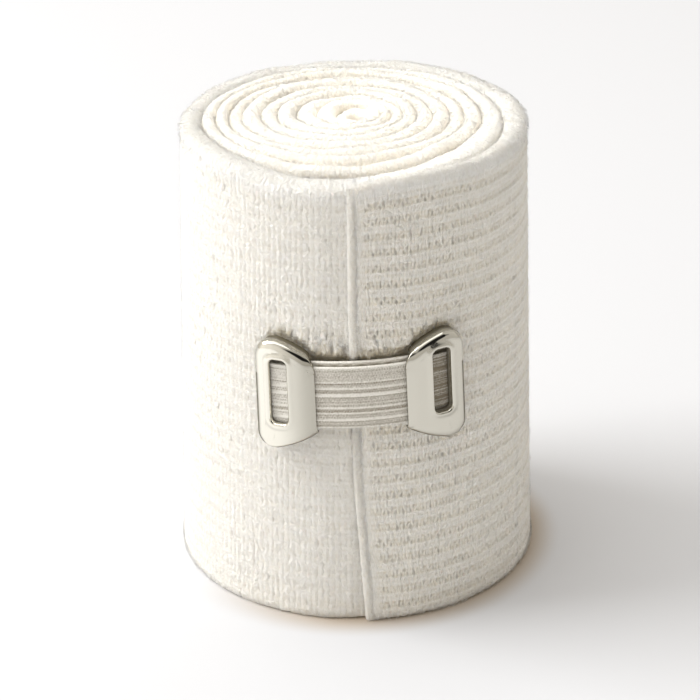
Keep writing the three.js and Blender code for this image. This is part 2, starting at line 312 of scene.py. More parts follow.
def cotton(name, colour, shade, grain, relief, tint=None, scatter=0.0010):
    """Soft matt cotton: two near creams in a fine mottle, a fibre bump, and light that sinks in.
    A tint, read from a value on the mesh, shows the bare elastic threads and painted shade."""
    finish, nodes, links, shader = new_finish(name)
    shader.subsurface_method = "BURLEY"
    shader.inputs["Roughness"].default_value = 0.95
    shader.inputs["Specular IOR Level"].default_value = 0.15
    shader.inputs["Sheen Weight"].default_value = 0.26
    shader.inputs["Sheen Roughness"].default_value = 0.6
    shader.inputs["Subsurface Weight"].default_value = 0.8
    shader.inputs["Subsurface Scale"].default_value = scatter
    shader.inputs["Subsurface Radius"].default_value = (1.0, 0.9, 0.75)
    place = nodes.new("ShaderNodeTexCoord")
    stretch = nodes.new("ShaderNodeMapping")
    stretch.inputs["Scale"].default_value = (1.0, 1.0, 0.6)
    links.new(place.outputs["Object"], stretch.inputs["Vector"])
    fibre = nodes.new("ShaderNodeTexNoise")
    fibre.inputs["Scale"].default_value = grain
    fibre.inputs["Detail"].default_value = 4.0
    fibre.inputs["Roughness"].default_value = 0.65
    links.new(stretch.outputs["Vector"], fibre.inputs["Vector"])
    mottle = blend_colours(nodes, shade, colour)
    paler = stretch_values(nodes, 0.35, 0.62)
    links.new(fibre.outputs["Fac"], paler.inputs["Value"])
    links.new(paler.outputs["Result"], mottle.inputs["Factor"])
    cloth_colour = mottle.outputs["Result"]
    if tint:
        elastic_and_painted_shade = attribute(nodes, "elastic_and_painted_shade")
        tinted = blend_colours(nodes, colour, tint)
        links.new(elastic_and_painted_shade.outputs["Fac"], tinted.inputs["Factor"])
        links.new(cloth_colour, tinted.inputs["A"])
        cloth_colour = tinted.outputs["Result"]
    links.new(cloth_colour, shader.inputs["Base Color"])
    add_bump(nodes, links, fibre.outputs["Fac"], shader, relief)
    return finish


ground_cotton = cotton("ground cotton", (0.88, 0.84, 0.765), (0.80, 0.75, 0.66), 2600, 0.0002, scatter=0.0026)

# The ground of the knit is lower in the open stitch rows than in the close bands between them.
# A rib is one row and one band, and the ribs are drawn wider towards the foot.
row_depth = 0.00024
band_depth = 0.00017
rib_marks = {"height": (0.0, 0.0308, 0.0526, 0.0790), "rib": (0.66, 11.5, 19.5, 29.46)}
rib_count = 28
row_middle = 0.53
last_rib = 27.1


def rib_at(girth):
    return np.interp(girth, rib_marks["height"], rib_marks["rib"])


def girths_at(shares):
    """The heights on the face, from its foot to its shoulder, that lie at these shares of any rib."""
    ribs = (np.arange(rib_count + 1)[:, None] + np.array(shares)[None]).reshape(-1)
    girths = np.interp(ribs, rib_marks["rib"], rib_marks["height"], left=-1.0, right=1.0)
    inside = girths[(girths > 0.0003) & (girths < shoulder - 0.0002)]
    return np.concatenate([[0.0], inside])


def openness_at(turn):
    """The knit is drawn open on the right of the roll and lies closer on its left."""
    share = 1 - 0.50 * smooth((turn - 0.45) / 0.30)
    return np.where(turn < 1.02, share, 0.0)


def open_row(girth):
    """1 in an open stitch row, 0 in the close band between two rows and over the rim."""
    return smooth((0.27 - np.abs(rib_at(girth) % 1.0 - row_middle)) / 0.08) * (rib_at(girth) < last_rib)


face_girths = np.concatenate([girths_at((0.05, 0.25, row_middle - 0.18, row_middle + 0.18, 0.81)),
                              [shoulder]])
rim_girths = shoulder + rim_girth * np.linspace(0, 1, 9)[1:]
inner_face = np.linspace(shoulder - 0.004, foot_round, 15)
turns = np.concatenate([
    np.linspace(0.0, 1.1, 106, endpoint=False),
    np.linspace(1.1, 4.0, 150, endpoint=False),
    np.linspace(4.0, 7.0, 104, endpoint=False),
    np.linspace(7.0, inner_end, 80),
])
row_drop = (row_depth - band_depth) * open_row(face_girths)[None] * openness_at(turns)[:, None]
face_part = lie(turns[:, None], face_girths[None], -band_depth - row_drop)
rim_part = lie(turns[:, None], rim_girths[None], -band_depth)
fade_in = thickness_at(turns)[:, None]
inner_part = on_roll(turns[:, None], fade_in - band_depth, inner_face[None])
underside = np.array([0.75, 0.25])
foot_part = on_roll(turns[:, None], fade_in * underside[None], np.zeros((1, 2)))
strip = np.concatenate([face_part, rim_part, inner_part, foot_part], axis=1) + axis
bandage = add_piece("bandage_cloth", strip, tube_faces(*strip.shape[:2]), ground_cotton)
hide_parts("bandage")

# ------------------------------------------------------------------------------------------------
# The stitches. Cotton yarns stand side by side up the face of the cloth, from 0.6 mm apart on the
# right to about 1 mm behind and on the left. They are broad in the smooth bands, and thin and
# slanting in the open rows between.
# ------------------------------------------------------------------------------------------------
yarn_cotton = cotton("yarn cotton", (0.985, 0.97, 0.94), (0.91, 0.89, 0.84), 2100, 0.00045,
                     tint=(0.64, 0.57, 0.425))
yarn_section = np.array([(-1.0, -1.0), (-0.35, 1.0), (0.35, 1.0), (1.0, -1.0)])
courses_per_rib = 3
# How much tint lies along one rib, most at the edges of its open row: bare elastic and painted shade.
rib_elastic_and_shade = {"share": (0.0, 0.07, 0.16, 0.24, 0.34, 0.42, 0.54, 0.67, 0.75, 0.82, 0.91, 1.0),
            "tone": (0.50, 0.55, 0.04, 0.04, 1.00, 1.10, 0.36, 1.08, 0.82, 0.06, 0.0, 0.50)}
right_rings = (0.07, 0.19, 0.26, 0.36, 0.44, 0.56, 0.69, 0.80, 0.91)
left_rings = (0.03, 0.11, 0.19, 0.28, 0.36, 0.44, 0.53, 0.61, 0.69, 0.78, 0.86, 0.95)
back_rings = (0.05, 0.25, 0.36, 0.53, 0.69, 0.82)
# How stitches stray: sideways, in size and in slant as shares of the yarn's width, and up in metres.
stray_sideways = 0.11
stray_size = 0.07
stray_up = 0.000030
stray_slant = 0.15
# How far a yarn leans over its neighbour in an open row as a share of its width, how deep a pit or a
# row lies, and how unevenly the yarns end at the foot, in metres.
lean_in_row = 0.44
pit_depth = 0.00007
yarn_ends = 0.00012
dice = np.random.default_rng(20)


def pit_row(girth):
    """1 in the row of small pits in the middle of a close band."""
    return smooth((0.10 - np.abs((rib_at(girth) + 0.40) % 1.0 - 0.5)) / 0.05) * (rib_at(girth) < last_rib)


def yarn_columns(yarn_turns, girths, openness, wide, thin, proud, beads, tall=0.00008):
    """Upright yarns in short stitches: broad where the knit is close, thin and sunk where it opens."""
    count = len(yarn_turns)
    opening = open_row(girths)[None] * openness
    pits = pit_row(girths)[None] * openness
    course = rib_at(girths) * courses_per_rib + 0.5
    stitch = np.floor(course).astype(int)
    belly = np.sin(np.pi * (course - stitch))[None]
    stitches = stitch.max() + 1
    sideways = dice.normal(0.0, stray_sideways, (count, stitches))[:, stitch] * wide
    raised = dice.normal(0.0, stray_up, (count, stitches))[:, stitch] * (1 - 0.35 * openness)
    slant = dice.uniform(-1.0, 1.0, (count, stitches))[:, stitch]
    in_row = np.clip((rib_at(girths) % 1.0 - row_middle) / 0.21, -1.0, 1.0)[None]
    alternate = np.where(np.arange(count) % 2 == 0, 1.0, -1.0)[:, None]
    crossing = alternate * dice.uniform(0.5, 1.2, (count, 1))
    crossing = crossing * np.sign(dice.uniform(-0.15, 1.0, (count, stitches)))[:, stitch]
    lean = (stray_slant * wide * slant * (course - stitch - 0.5)[None]
            + lean_in_row * wide * crossing * in_row * opening)
    by_turns = 1 + 0.05 * alternate * (openness > 0.5)
    size = dice.normal(1.0, stray_size, (count, stitches))[:, stitch] * (0.88 + 0.14 * belly) * by_turns
    half_width = (wide + (thin - wide) * np.maximum(opening, 0.8 * pits)) * size
    centre = proud - (proud + pit_depth) * opening - pit_depth * pits + beads * (belly - 1) + raised
    half_height = tall - 0.00004 * openness + 0.00003 * opening
    across = (lean + sideways)[..., None] + half_width[..., None] * yarn_section[:, 0]
    lift = (centre - half_height)[..., None] + half_height[..., None] * yarn_section[:, 1]
    reach = wound(yarn_turns, "radius")[:, None, None]
    turn = yarn_turns[:, None, None] + across / (math.tau * reach)
    # The yarns end unevenly at the foot of the outer turn.
    hanging = dice.uniform(0.0, yarn_ends, count) * past_corner(yarn_turns) * (yarn_turns < 1.0)
    at_foot = girths[None, :, None] == 0.0
    girth = girths[None, :, None] - hanging[:, None, None] * at_foot
    return lie(np.clip(turn, 0.0, inner_end), girth, lift) + axis


# How much of the tint shows at most: in the open rows, the elastic's colour with painted shade; over the
# face; and painted shade in the groove inside the rim and below the strap.
row_elastic_and_shade = 0.26
face_tint = 0.16
groove_painted_shade = 0.20
below_painted_shade = 0.15


def tint_knit(piece, yarn_turns, girths, openness):
    """The rows show beige elastic and painted shade; painted shade also lies round the clip, the groove and
    below the strap.
    """
    share = rib_at(girths) % 1.0
    rows = row_elastic_and_shade * np.interp(share, rib_elastic_and_shade["share"], rib_elastic_and_shade["tone"])[None] * openness
    # The painted row shade grows lighter further round to the right.
    rows = rows * (1.12 - 0.42 * smooth((yarn_turns[:, None] - 0.06) / 0.14))
    above_row = np.clip((share - row_middle) / 0.18, -1.0, 1.0)[None]
    by_turns = np.where(np.arange(len(yarn_turns)) % 2 == 0, 1.0, -1.0)[:, None]
    rows = rows * (1 + (0.08 + 0.30 * above_row) * by_turns) * (rib_at(girths) < last_rib)[None]
    # The face is a little creamier than the rim, and painted shade darkens the groove inside the rim.
    bend = np.pi * np.clip((girths - shoulder) / rim_girth, 0, 1)
    painted_groove_shade = np.maximum(-np.cos(bend), 0) ** 1.5
    face_cream_and_groove_shade = face_tint * (1 - smooth((girths - 0.0715) / 0.0025)) + groove_painted_shade * painted_groove_shade
    along, above, pressed = over_clip(yarn_turns[:, None], girths[None])
    # Painted shade on the cloth pinched along the clip's upper edge, in random patches.
    pinched = np.exp(-(np.maximum(above - 0.1, 0) / 0.95) ** 2) * np.clip(pressed * 2.5, 0, 1) * (above > -4)
    tone = rows * dice.uniform(0.6, 1.4, rows.shape) + pinched * dice.uniform(0.2, 1.3, pinched.shape)
    # Painted shade: the cloth just below the strap is tinted darker.
    below = np.exp(-((above + 12.5) / 2.4) ** 2) * (1 - smooth((np.abs(along) - 7) / 4))
    tone = tone + face_cream_and_groove_shade[None] + below_painted_shade * below * (yarn_turns[:, None] < outer_turn_ends)
    mark(piece, "elastic_and_painted_shade", np.repeat(np.clip(tone, 0, 1), len(yarn_section)))


over_rim = shoulder + rim_girth * np.linspace(0.0, 1.0, 9)
yarn_proud = 0.00006
# Each part of the way round: the turns where its first and last yarn stand, its yarns, their rings in
# a rib, how wide a yarn is of its pitch in the bands and in the rows, and how deeply its stitches are
# waisted and how tall they are, in metres.
parts_round = {
    "knit_right": (0.005, 0.1760, 54, right_rings, 0.68, 0.52, 0.00007, 0.00009),
    "knit_side": (0.1777, 0.3360, 50, right_rings, 0.68, 0.52, 0.00007, 0.00009),
    "knit_back": (0.3380, 0.6660, 54, back_rings, 0.70, 0.58, 0.00007, 0.00008),
    "knit_left": (0.6690, 1.014, 67, left_rings, 0.60, 0.53, 0.00008, 0.000075),
}
for name, (first, last, count, rings, in_band, in_rows, beads, tall) in parts_round.items():
    at = np.linspace(first, last, count)
    pitch = (last - first) / (count - 1) * math.tau * face_radius
    # The rows close up beside the cut end.
    openness = (smooth((at * math.tau * face_radius - 0.0007) / 0.0022) * openness_at(at))[:, None]
    yarn_girths = np.concatenate([girths_at(rings), over_rim])
    yarns = yarn_columns(at, yarn_girths, openness, in_band * pitch, in_rows * pitch, yarn_proud, beads, tall)
    knit = add_tubes(name, yarns, yarn_cotton)
    tint_knit(knit, at, yarn_girths, openness)

# Over the top edge of every inner turn the same yarns show as short arches.
arch_pitch = 0.00080
arch_width = 0.00052
arch_beads = 0.00003
edge_yarns = []
at = 1.0
while at < inner_end - 0.02:
    edge_yarns.append(at)
    at += arch_pitch / (math.tau * float(wound(at, "radius")))
arch_shares = np.linspace(-0.25, 1.15, 11)
edge_girths = shoulder + rim_girth * arch_shares
arches = yarn_columns(np.array(edge_yarns), edge_girths, 0.0, arch_width, arch_width, 0.0, arch_beads)
edge_cotton = cotton("edge cotton", (0.935, 0.915, 0.87), (0.875, 0.85, 0.795), 1900, 0.0004,
                     tint=(0.66, 0.57, 0.43), scatter=0.0026)
edges = add_tubes("turn_edges", arches, edge_cotton)
# Painted shade, low in the grooves between the turns.
painted_groove_shade = 0.22 * np.abs(np.cos(np.pi * arch_shares.clip(0, 1))) ** 1.5
mark(edges, "elastic_and_painted_shade", np.repeat(np.tile(painted_groove_shade, len(edge_yarns)), len(yarn_section)))

# The strip's inner end is tucked down into the middle of the core, and closes it just below the top.
tuck_turn = 9.9
tuck_radius = 0.00132
tuck_height = 0.0732
# Its section: the share of its radius, and the height above its own.
tuck_shape = np.array([(1.0, -0.0120), (1.0, -0.0016), (0.97, -0.0009), (0.85, -0.0004), (0.62, -0.0001),
                       (0.34, 0.00006), (0.08, 0.0001)])
tuck_sides = 28
tuck_round = np.arange(tuck_sides) / tuck_sides * math.tau
tuck_lumps = 1 + 0.07 * np.sin(tuck_round * 3 + 0.5) + 0.05 * np.sin(tuck_round * 5 + 2.0)
tuck_across = tuck_radius * tuck_shape[:, :1] * tuck_lumps[None]
tuck = np.stack([wound(tuck_turn, "right") + tuck_across * np.sin(tuck_round)[None] + top_lean,
                 wound(tuck_turn, "back") + tuck_across * np.cos(tuck_round)[None],
                 tuck_height + tuck_shape[:, 1:] + 0.00008 * np.sin(tuck_round * 4)[None]], axis=-1)
core_tuck = add_tubes("core_tuck", (tuck + axis)[None], edge_cotton)
# Painted shade: the tucked end, in the hollow of the core, is tinted darker all over.
mark(core_tuck, "elastic_and_painted_shade", np.full(tuck.size // 3, 0.45))

# ------------------------------------------------------------------------------------------------
# The cut end. The strip's end is turned under and overlocked with cotton thread, so that a soft,
# smooth ridge runs down the front, pressed flat at the top edge. Nothing but the clip holds it down.
# ------------------------------------------------------------------------------------------------
ridge_girths = np.concatenate([np.linspace(0.0, shoulder, 150),
                               shoulder + rim_girth * np.linspace(0.05, 0.6, 8)])
# The ridge's section: round from the end's open side, and off the cloth.
ridge_profile = np.array([(-0.40, -0.95), (-0.37, -0.45), (-0.31, -0.14), (-0.18, 0.01), (0.02, 0.10),
                          (0.22, 0.14), (0.42, 0.14), (0.66, 0.11), (0.96, 0.04), (0.70, -0.28),
                          (0.20, -0.45), (-0.10, -0.95)]) / 1000
stitched = 0.35 * np.sin(ridge_girths * 2600) + 0.3 * dice.standard_normal(len(ridge_girths))
swell = smooth(0.5 + stitched)[:, None]
ridge_runs_out = 0.006
ridge_sinks = 0.0001
ridge_fade = 1 - smooth((ridge_girths - (cloth_width - ridge_runs_out)) / ridge_runs_out)[:, None]
ridge_across = ridge_profile[None, :, 0] * (0.86 + 0.26 * swell)
ridge_lift = ridge_profile[None, :, 1] * (0.60 + 0.65 * swell) * ridge_fade - ridge_sinks * (1 - ridge_fade)
ridge_turn = ridge_across / (math.tau * face_radius)
ridge = lie(np.maximum(ridge_turn, 0.0), ridge_girths[:, None], ridge_lift)
ridge[..., 0] += np.minimum(ridge_turn, 0) * math.tau * face_radius
ridge_cotton = cotton("ridge cotton", (0.97, 0.935, 0.865), (0.90, 0.86, 0.78), 1900, 0.0005, scatter=0.0018)
ridge = add_tubes("end_ridge", ridge[None] + axis, ridge_cotton)

# ------------------------------------------------------------------------------------------------
# The fluff. Loose cotton fibres stand off the brushed yarns as short arcs, thickest on the rim and
# on the top edges of the turns.
# ------------------------------------------------------------------------------------------------
fluff_cotton = cotton("loose cotton", (0.96, 0.945, 0.91), (0.94, 0.92, 0.88), 900, 0.00001)
hair_steps = np.linspace(0, 1, 3)
# Hairs leave the cloth this far above its skin, and stay this far above the table.
hair_root = 0.00004
above_table = 0.00002


def hairs(name, turn, girth, reach, height, width, finish=fluff_cotton):
    """Thin ribbons that leave the cloth at a point, arch over it and taper."""
    count = len(turn)
    root = lie(turn, girth, hair_root)
    out = lie(turn, girth, hair_root + 0.001) - root
    out = out / np.linalg.norm(out, axis=1, keepdims=True)
    up = lie(turn, girth + 0.0003, hair_root) - root
    up = up / np.linalg.norm(up, axis=1, keepdims=True)
    beside = np.cross(out, up)
    heading = dice.uniform(0, math.tau, count)[:, None]
    ahead = np.cos(heading) * up + np.sin(heading) * beside
    bend = dice.uniform(-0.5, 0.5, count)[:, None]
    aside = np.cross(out, ahead)
    long = (reach * dice.uniform(0.5, 1.3, count))[:, None, None]
    tall = (height * dice.uniform(0.3, 1.4, count))[:, None, None]
    at = hair_steps[None, :, None]
    line = (root[:, None] + ahead[:, None] * long * at + aside[:, None] * long * bend[:, None] * at ** 2
            + out[:, None] * tall * np.sin(2.2 * at))
    flat = (aside * np.cos(heading * 3) + out * np.sin(heading * 3))[:, None]
    half = width / 2 * (1 - 0.7 * at)
    ribbon = np.stack([line - flat * half, line + flat * half], axis=2)
    ribbon[..., 2] = np.maximum(ribbon[..., 2], above_table)
    step = np.arange(len(hair_steps) - 1)[:, None] * 2 + np.array([0, 1, 3, 2])[None]
    faces = step[None] + (np.arange(count) * 2 * len(hair_steps))[:, None, None]
    fluff = add_piece(name, ribbon + axis, faces.reshape(-1, 4), finish)


# Each kind of fluff: where its hairs stand along the strip and up it, how far they reach along the
# cloth and off it, and how wide they are.
face_hairs = 10200
hairs("fluff_face", dice.uniform(0.004, 0.998, face_hairs), dice.uniform(0.0004, shoulder, face_hairs),
      0.0008, 0.00022, 0.00004)
seam_hairs = 4600
hairs("fluff_seam", dice.normal(0.0012, 0.0024, seam_hairs) % 1.0, dice.uniform(0.0004, shoulder, seam_hairs),
      0.0006, 0.00045, 0.00005)
rim_hairs = 9500
hairs("fluff_rim", dice.uniform(0.0, 1.0, rim_hairs),
      shoulder + rim_girth * dice.normal(0.40, 0.26, rim_hairs), 0.00075, 0.00030, 0.00007)
foot_hairs = 3200
hairs("fluff_foot", dice.uniform(0.0, 1.0, foot_hairs), dice.uniform(0.0, 0.0011, foot_hairs),
      0.0006, 0.00030, 0.00006)
# Even along the strip: a turn's share of the hairs falls with its radius.
edge_hairs = 12500
edge_turn = 1.0 + (inner_end - 1.03) * (1 - np.sqrt(1 - dice.uniform(0.0, 0.96, edge_hairs)))
hairs("fluff_turns", edge_turn, shoulder + rim_girth * dice.uniform(0.0, 1.0, edge_hairs),
      0.00075, 0.00030, 0.00007)
# Dark brown hairs stand up from the pinched cloth above the strap: painted shade there.
painted_shade_cotton = cotton("painted shade cotton", (0.83, 0.77, 0.65), (0.60, 0.53, 0.41), 900, 0.00001)
clip_hairs = 1900
hairs("fluff_clip", dice.uniform(-0.042, 0.047, clip_hairs) % 1.0,
      clip_height + 0.0051 + dice.exponential(0.0009, clip_hairs), 0.0006, 0.00040, 0.00006, painted_shade_cotton)

# ------------------------------------------------------------------------------------------------
# The elastic strap. A flat band of woven elastic, 10 mm wide, folded into a loop of two layers that
# lies round the front of the roll. Rubber cores make raised cords along it.
# ------------------------------------------------------------------------------------------------
# From the clip's middle to the plates, how long a plate is, and how far the strap goes under it.
half_span = 0.0070
plate_length = 0.0100
strap_reach = half_span + plate_length - 0.0018
# The layers' middles stand this far off the cloth's face: in front, in front in the left and right
# slots, behind, and how much further the back one bulges between the plates.
front_middle = 0.0018
front_in_slot = {-1: 0.00185, 1: 0.00125}
back_middle = 0.0006
back_bulge = 0.0005
# The back layer shows a little above the front one.
front_rise = -0.00005
back_rise = 0.00055
# Each layer's thickness over its cords, and how much lower its weave lies between them.
layer_thickness = 0.0006
weave_sunk = 0.00010
half_band = 0.00515


def beside_roll(along, rise, out):
    """A point along the clip from its middle, up from its height, and out from the cloth."""
    height = clip_height + rise
    reach = face_radius * flare_at(height) + out
    lying = face_radius * flare_at(clip_height) + strap_top
    angle = clip_angle + along / lying
    return np.stack(np.broadcast_arrays(
        reach * np.sin(angle) + top_lean * height / cloth_width,
        -reach * np.cos(angle),
        height,
    ), axis=-1) + axis


# Where a cord lies, up from the band's middle, its half width, and how far it stands up.
cords = ((0.00500, 0.00017, 0.00015), (0.00262, 0.00015, 0.00012), (0.00155, 0.00015, 0.00012),
         (0.00042, 0.00027, 0.00017), (-0.00170, 0.00015, 0.00011), (-0.00262, 0.00014, 0.00010),
         (-0.00368, 0.00018, 0.00013), (-0.00500, 0.00018, 0.00013))
# Where a furrow between the cords lies, and how deep and dark it is.
furrows = ((0.00445, 0.3), (0.00360, 0.3), (0.00232, 0.8), (0.00200, 0.4), (0.00122, 0.6), (0.00088, 1.0),
           (0.00003, 0.9), (-0.00075, 0.3), (-0.00138, 0.5), (-0.00203, 0.6), (-0.00232, 0.8),
           (-0.00300, 0.4), (-0.00334, 0.6), (-0.00405, 0.7), (-0.00470, 0.5))
furrow_half = 0.00009
furrow_depth = 0.00006
weft_pitch = 0.00042
weft_row = 0.00052
weft_lift = 0.00003


def cord_at(across):
    return sum(tall * np.exp(-((across - at) / wide) ** 2) for at, wide, tall in cords)


def furrow_at(across):
    return sum(deep * np.exp(-((across - at) / furrow_half) ** 2) for at, deep in furrows)


def wefts_at(across, run):
    """1 on top of a weft and -1 between two, the crossings set half a pitch apart from row to row."""
    return np.cos(math.tau * (run / weft_pitch + 0.5 * np.floor(across / weft_row)))


def band_face(across, run):
    """How far the woven face stands off the band's middle: cords, furrows and the crossing wefts."""
    edge = np.clip(np.abs(across) / half_band, 0.0, 1.0)
    body = (layer_thickness / 2 - weave_sunk) * (1 - edge ** 24)
    cord = cord_at(across)
    woven = weft_lift * wefts_at(across, run) * (1 - 0.5 * np.clip(cord / 0.0001, 0, 1))
    return body + cord - furrow_depth * furrow_at(across) + woven


outer_face = np.linspace(-half_band, half_band, 121)
inner_side = np.concatenate([np.linspace(half_band, half_band - 0.0018, 20)[1:],
                             np.linspace(half_band - 0.0018, -half_band, 17)[1:-1]])
both_sides = np.concatenate([outer_face, inner_side])
outside = np.where(np.arange(len(both_sides)) < len(outer_face), 1.0, -1.0)[None]
turned_in = 0.0006
front_run = np.concatenate([
    np.linspace(-strap_reach + turned_in, -half_span, 56, endpoint=False),
    np.linspace(-half_span, half_span, 126, endpoint=False),
    np.linspace(half_span, strap_reach - turned_in, 56),
])
back_run = np.linspace(strap_reach - turned_in, -strap_reach + turned_in, 84)


def under_plate(along):
    """0 between the plates and 1 well under either."""
    return smooth((np.abs(along) - half_span - 0.0008) / 0.0028)


slot_level = np.where(front_run < 0, front_in_slot[-1], front_in_slot[1])
front_out = front_middle + (slot_level - front_middle) * under_plate(front_run)
back_out = back_middle + back_bulge * (1 - under_plate(back_run))
path_along, path_out = [front_run], [front_out]
fold = np.linspace(0, np.pi, 9)[1:-1]
for side, run_after, out_after in ((1, back_run, back_out), (-1, [], [])):
    fold_radius = (front_in_slot[side] - back_middle) / 2
    path_along += [side * (strap_reach - turned_in + fold_radius * np.sin(fold)), run_after]
    path_out += [back_middle + fold_radius * (1 + side * np.cos(fold)), out_after]
path_along = np.concatenate(path_along)
path_out = np.concatenate(path_out)
# Half of each fold's seven rings belong to the front layer.
ring = np.arange(len(path_along))
is_front = (ring < len(front_run) + 4) | (ring > len(path_along) - 4)
path_rise = np.where(is_front, front_rise, back_rise)
path_rise = sum(np.roll(path_rise, shift) for shift in (2, 1, 0, -1, -2)) / 5
step = np.stack([np.roll(path_along, -1) - np.roll(path_along, 1),
                 np.roll(path_out, -1) - np.roll(path_out, 1)], axis=1)
step = step / np.linalg.norm(step, axis=1, keepdims=True)
facing = np.stack([-step[:, 1], step[:, 0]], axis=1)
run = np.concatenate([[0], np.cumsum(np.hypot(np.diff(path_along), np.diff(path_out)))])
stand_off = band_face(both_sides[None], run[:, None]) * outside
along = path_along[:, None] + facing[:, :1] * stand_off
out = path_out[:, None] + facing[:, 1:] * stand_off
rise = along * math.tan(clip_tilt) + both_sides[None] + path_rise[:, None]
strap_points = beside_roll(along, rise, out)


def elastic(name, cord_colour, weave_colour):
    """Woven elastic: pale cotton-covered cords over a greyer close weave with a thread bump."""
    finish, nodes, links, shader = new_finish(name)
    shader.inputs["Roughness"].default_value = 0.75
    shader.inputs["Specular IOR Level"].default_value = 0.25
    shader.inputs["Sheen Weight"].default_value = 0.08
    cord = attribute(nodes, "cord")
    thread = nodes.new("ShaderNodeTexNoise")
    thread.inputs["Scale"].default_value = 5200
    thread.inputs["Detail"].default_value = 2.0
    place = nodes.new("ShaderNodeTexCoord")
    links.new(place.outputs["Object"], thread.inputs["Vector"])
    spread = stretch_values(nodes, 0.3, 0.7, -0.16, 0.16)
    links.new(thread.outputs["Fac"], spread.inputs["Value"])
    share = nodes.new("ShaderNodeMath")
    share.operation = "ADD"
    share.use_clamp = True
    links.new(cord.outputs["Fac"], share.inputs[0])
    links.new(spread.outputs["Result"], share.inputs[1])
    blend = blend_colours(nodes, weave_colour, cord_colour)
    links.new(share.outputs["Value"], blend.inputs["Factor"])
    links.new(blend.outputs["Result"], shader.inputs["Base Color"])
    add_bump(nodes, links, thread.outputs["Fac"], shader, 0.00008, 0.7)
    return finish


elastic_weave = elastic("elastic weave", (0.94, 0.91, 0.84), (0.31, 0.265, 0.195))
loop_faces = tube_faces(len(path_along), len(both_sides), closed=True)
strap = add_piece("strap_elastic", strap_points, loop_faces, elastic_weave)
full_cord = 0.00012
cord_share = np.clip(cord_at(both_sides) / full_cord, 0.0, 1.0)[None]
wefts = wefts_at(both_sides[None], run[:, None])
tone = 0.56 + 0.10 * wefts * (1 - cord_share) + 0.42 * cord_share
tone = tone - (0.54 - 0.22 * wefts) * np.clip(furrow_at(both_sides), 0, 1)[None] * (1 - 0.5 * cord_share)
# Painted light and shade: paler in the left slot where light falls, dark brown in the right slot's shade.
beneath = smooth((np.abs(path_along) - half_span - 0.0020) / 0.0012)[:, None]
thread_rows = np.random.default_rng(47).normal(0.0, 1.0, len(both_sides))[None]
thread_rows = 0.8 * thread_rows + 0.5 * np.roll(thread_rows, 1, 1)
tone = tone + 0.08 * thread_rows
tone = np.where(path_along[:, None] < 0, tone + (0.26 + 0.10 * thread_rows) * beneath,
                tone * (1 - 0.86 * beneath) + 0.32 * thread_rows * beneath)
threads = np.random.default_rng(31).normal(0.0, 1.0, tone.shape)
tone = tone + 0.09 * threads + 0.07 * np.roll(threads, 1, 0)
mark(strap, "cord", tone)
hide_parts("strap")

# ------------------------------------------------------------------------------------------------
# The two clip plates. Each is pressed from thin nickelled steel, domed over the strap's end, with
# walls down to the cloth on three sides and a slot with a rolled edge. Hidden teeth hold the cloth.
# ------------------------------------------------------------------------------------------------
# The upper and lower edges, from the open end over their bow to their peak, and the cut off the
# upper corner of the open end.
upper_edge = np.array([(0.0, 5.5), (2.1, 7.9), (6.4, 8.95)]) / 1000
lower_edge = np.array([(0.0, 6.25), (3.2, 8.35), (6.6, 9.25)]) / 1000
corner_cut = np.array([(0.0, 4.3), (0.22, 5.93), (1.458, 6.82)]) / 1000
plate_corner = 0.0028
plate_top = 0.00285
plate_metal = 0.00045
plate_wall = 0.00035
clearance = 0.0003
slot_from_inner_edge = 0.00572
slot_half_width = 0.00142
slot_half_length = 0.0053
slot_corner = 0.0009
lip_width = 0.00030
# On the left and right plate: how high the slot lies, how far down its lip goes, and how far the
# face falls towards the open end.
slot_rises = {-1: 0.00075, 1: 0.00115}
lip_foots = {-1: 0.00228, 1: 0.00170}
inner_falls = {-1: 0.00032, 1: 0.00014}
# The round shoulder pressed along the walled edge: how far it drops, its width and its fullness.
shoulder_drop = 0.00130
shoulder_width = 0.00165
shoulder_power = 2.2
# How far the slot's rolled edge stands above the face at a distance out from the slot.
collar_out = (0.0, 0.00003, 0.00010, 0.00022, 0.00036, 0.00052, 0.00068, 0.00086, 0.00104, 0.00124)
collar_up = (-0.00024, -0.00008, 0.00009, 0.00021, 0.00027, 0.00027, 0.00021, 0.00012, 0.00004, 0.0)


def bowed(edge, shares):
    """Points of an edge drawn from its start over its bow to its peak."""
    past = shares[:, None]
    return (1 - past) ** 2 * edge[0] + 2 * past * (1 - past) * edge[1] + past ** 2 * edge[2]


def rest_of_edge(peak, steps):
    """From an edge's peak along the outline and round the corner to the middle of the outer side."""
    arc_middle = np.array([plate_length - plate_corner, peak[1] - plate_corner])
    flat = np.linspace(peak[0], arc_middle[0], 4)[1:-1]
    turn = np.linspace(np.pi / 2, 0, steps, endpoint=False)
    corner = arc_middle + plate_corner * np.stack([np.cos(turn), np.sin(turn)], axis=1)
    side = np.linspace(arc_middle[1], 0, 26, endpoint=False)
    return np.concatenate([np.stack([flat, np.full_like(flat, peak[1])], axis=1), corner,
                           np.stack([np.full_like(side, plate_length), side], axis=1)])


def straight(start, end, steps):
    """Points from the start up to, but not at, the end."""
    return start + (end - start) * np.linspace(0, 1, steps, endpoint=False)[:, None]


